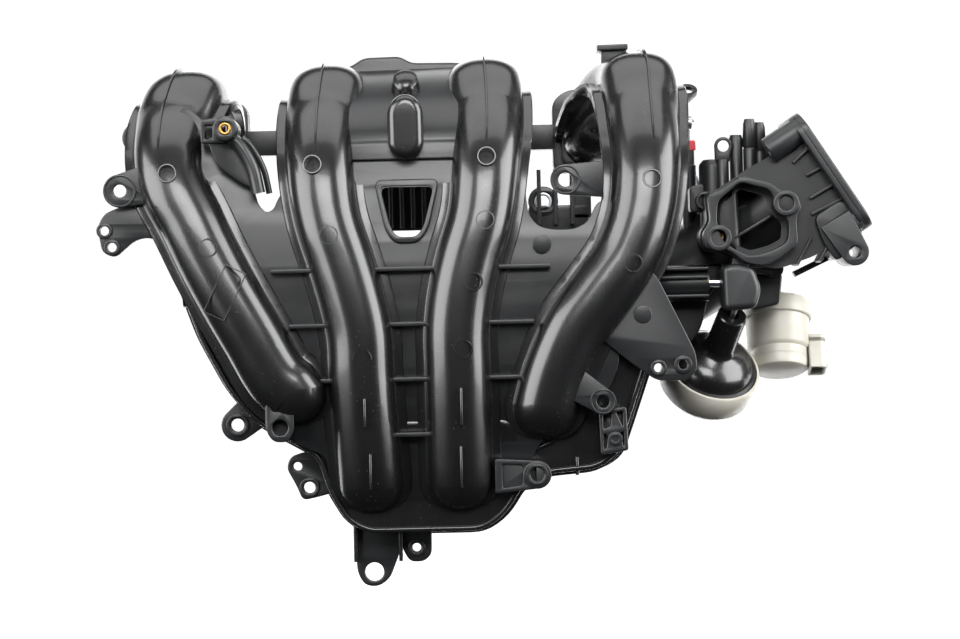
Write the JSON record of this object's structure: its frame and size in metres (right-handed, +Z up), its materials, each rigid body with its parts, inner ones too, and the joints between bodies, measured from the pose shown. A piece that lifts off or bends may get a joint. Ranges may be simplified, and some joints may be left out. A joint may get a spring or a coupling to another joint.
{
  "type": "intake manifold",
  "caption": "Welded plastic intake manifold: curved runners over a plenum, head flange with flap shafts, slanted throttle duct with exhaust-return pad and two vacuum actuators.",
  "frame": {"origin": "centre of the cylinder-head mounting face", "axes": "+Y out of the mounting face towards the cylinder head, +Z up, +X along the row of ports towards the throttle"},
  "size_m": [0.5348, 0.1684, 0.378],
  "materials": {
    "black_nylon": "moulded black glass-filled nylon, glossy",
    "duct_nylon": "moulded black glass-filled nylon, satin",
    "seal_rubber": "moulded rubber",
    "brass": "turned brass",
    "steel": "drawn and zinc plated",
    "flap_aluminium": "stamped sheet",
    "cream_plastic": "moulded natural polyamide, satin",
    "red_plastic": "moulded cap, satin"
  },
  "bodies": {
    "manifold": {"front_shell": "black_nylon", "middle_shell": "black_nylon", "rear_shell": "black_nylon", "head_flange": "black_nylon", "dome_housing": "black_nylon", "canister_bracket": "black_nylon", "throttle_duct": "duct_nylon", "crank_cover": "duct_nylon", "port_seal_1": "seal_rubber", "port_seal_2": "seal_rubber", "port_seal_3": "seal_rubber", "port_seal_4": "seal_rubber", "throttle_seal": "seal_rubber", "throttle_insert_1": "brass", "throttle_insert_2": "brass", "throttle_insert_3": "brass", "throttle_insert_4": "brass", "swirl_bush": "brass", "tuning_bush": "brass", "tuning_foot_bush": "brass", "boss_insert": "brass", "pad_insert_1": "brass", "pad_insert_2": "brass", "sensor_pin_1": "brass", "sensor_pin_2": "brass", "head_sleeve_1": "steel", "head_sleeve_2": "steel", "head_sleeve_3": "steel", "head_sleeve_4": "steel", "head_sleeve_5": "steel", "head_sleeve_6": "steel", "head_sleeve_7": "steel", "dome_spring": "steel", "canister_spring": "steel", "dome_cup": "cream_plastic", "canister_lid": "cream_plastic", "canister_cup": "cream_plastic", "sensor_connector": "cream_plastic", "valve_cap": "red_plastic"},
    "swirl_flaps": {"swirl_shaft": "steel", "swirl_plate_1": "flap_aluminium", "swirl_plate_2": "flap_aluminium", "swirl_plate_3": "flap_aluminium", "swirl_plate_4": "flap_aluminium"},
    "tuning_flaps": {"tuning_shaft": "steel", "tuning_plate_1": "flap_aluminium", "tuning_plate_2": "flap_aluminium", "tuning_plate_3": "flap_aluminium", "tuning_plate_4": "flap_aluminium"},
    "dome_pull": {"dome_rod": "steel", "dome_piston": "seal_rubber"},
    "canister_pull": {"bent_rod": "steel", "canister_piston": "seal_rubber"}
  },
  "joints": [
    {"name": "swirl_turn", "type": "hinge", "parent": "manifold", "child": "swirl_flaps", "pos_m": [0, -0.018, 0], "axis": [1, 0, 0], "range_deg": [0, 74]},
    {"name": "tuning_turn", "type": "hinge", "parent": "manifold", "child": "tuning_flaps", "pos_m": [0, -0.112, -0.11], "axis": [1, 0, 0], "range_deg": [0, 74]},
    {"name": "canister_slide", "type": "slide", "parent": "manifold", "child": "canister_pull", "axis": [0, -0.3401, -0.9404], "range_m": [0, 0.0144], "stiffness_N_per_m": 400, "springref_m": -0.006, "deforming": ["canister_spring"]},
    {"name": "dome_slide", "type": "slide", "parent": "manifold", "child": "dome_pull", "axis": [-0.2405, 0.6813, -0.6913], "range_m": [0, 0.0144], "stiffness_N_per_m": 400, "springref_m": -0.006, "deforming": ["dome_spring"]}
  ],
  "couplings": [
    {"joint": "swirl_turn", "follows": "canister_slide", "rad_per_m": 89.68},
    {"joint": "tuning_turn", "follows": "dome_slide", "rad_per_m": 89.68}
  ]
}
